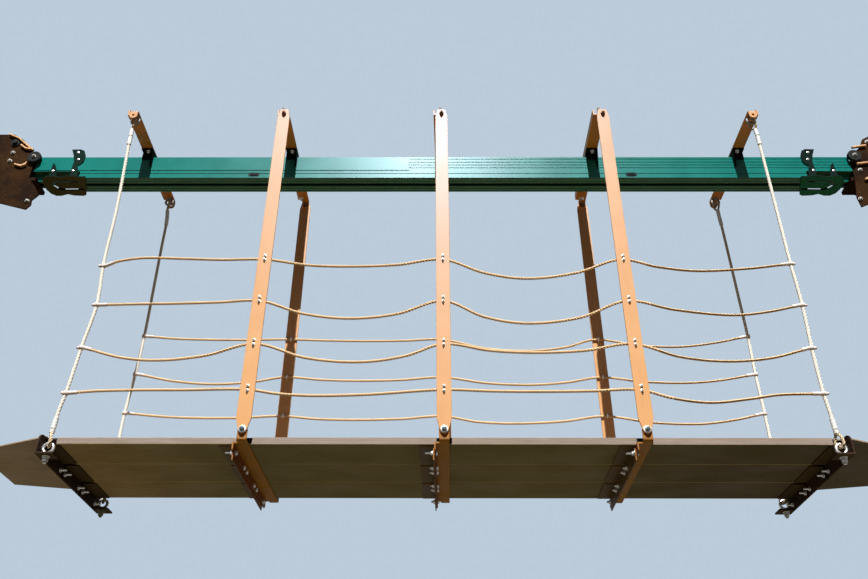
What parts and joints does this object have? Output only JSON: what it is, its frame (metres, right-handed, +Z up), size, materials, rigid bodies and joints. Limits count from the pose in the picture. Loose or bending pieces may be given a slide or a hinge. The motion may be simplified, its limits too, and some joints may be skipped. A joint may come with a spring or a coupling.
{
  "type": "rope suspension footbridge",
  "caption": "Short hanging footbridge: plank deck between rope sides, held by flat hangers and end ropes from cross arms on an overhead track beam.",
  "frame": {"origin": "centre of the outer face of the left beam end bracket, at the height of the beam's middle", "axes": "+X along the bridge from the left end to the right end, +Y from the near side to the far side, +Z up"},
  "size_m": [6.12, 0.939, 2.506],
  "materials": {
    "green_paint": "satin teal-green paint",
    "orange_paint": "satin pale orange paint",
    "brown_paint": "matt brown paint",
    "plank_board": "weathered taupe board",
    "tan_rope": "twisted tan fibre rope",
    "cream_rope": "cream twisted fibre rope",
    "black_rubber": "matt black rubber"
  },
  "bodies": {
    "root": {"track_beam": "green_paint", "running_rail": "green_paint", "end_rail_left": "green_paint", "end_rail_right": "green_paint", "end_stop_left": "black_rubber", "end_stop_right": "black_rubber", "bypass_loop_left": "green_paint", "bypass_loop_right": "green_paint", "end_bracket_left": "brown_paint", "end_bracket_right": "brown_paint", "cross_arm_1": "orange_paint", "arm_saddle_1": "green_paint", "cross_arm_2": "orange_paint", "arm_saddle_2": "green_paint", "cross_arm_3": "orange_paint", "arm_saddle_3": "green_paint", "cross_arm_4": "orange_paint", "arm_saddle_4": "green_paint", "cross_arm_5": "orange_paint", "arm_saddle_5": "green_paint", "hanger_near_2": "orange_paint", "hanger_far_2": "orange_paint", "deck_crossmember_2": "orange_paint", "hanger_near_3": "orange_paint", "hanger_far_3": "orange_paint", "deck_crossmember_3": "orange_paint", "hanger_near_4": "orange_paint", "hanger_far_4": "orange_paint", "deck_crossmember_4": "orange_paint", "end_crossmember_left": "brown_paint", "end_crossmember_right": "brown_paint", "plank_bay_1_row_1": "plank_board", "plank_bay_1_row_2": "plank_board", "plank_bay_1_row_3": "plank_board", "plank_bay_2_row_1": "plank_board", "plank_bay_2_row_2": "plank_board", "plank_bay_2_row_3": "plank_board", "plank_bay_3_row_1": "plank_board", "plank_bay_3_row_2": "plank_board", "plank_bay_3_row_3": "plank_board", "plank_bay_4_row_1": "plank_board", "plank_bay_4_row_2": "plank_board", "plank_bay_4_row_3": "plank_board", "end_rope_near_left": "cream_rope", "end_rope_near_right": "cream_rope", "end_rope_far_left": "cream_rope", "end_rope_far_right": "cream_rope", "side_rope_near_1": "tan_rope", "side_rope_near_2": "tan_rope", "side_rope_near_3": "tan_rope", "side_rope_near_4": "tan_rope", "side_rope_far_1": "tan_rope", "side_rope_far_2": "tan_rope", "side_rope_far_3": "tan_rope", "side_rope_far_4": "tan_rope", "approach_plate_left": "brown_paint", "approach_plate_right": "brown_paint"}
  },
  "joints": []
}
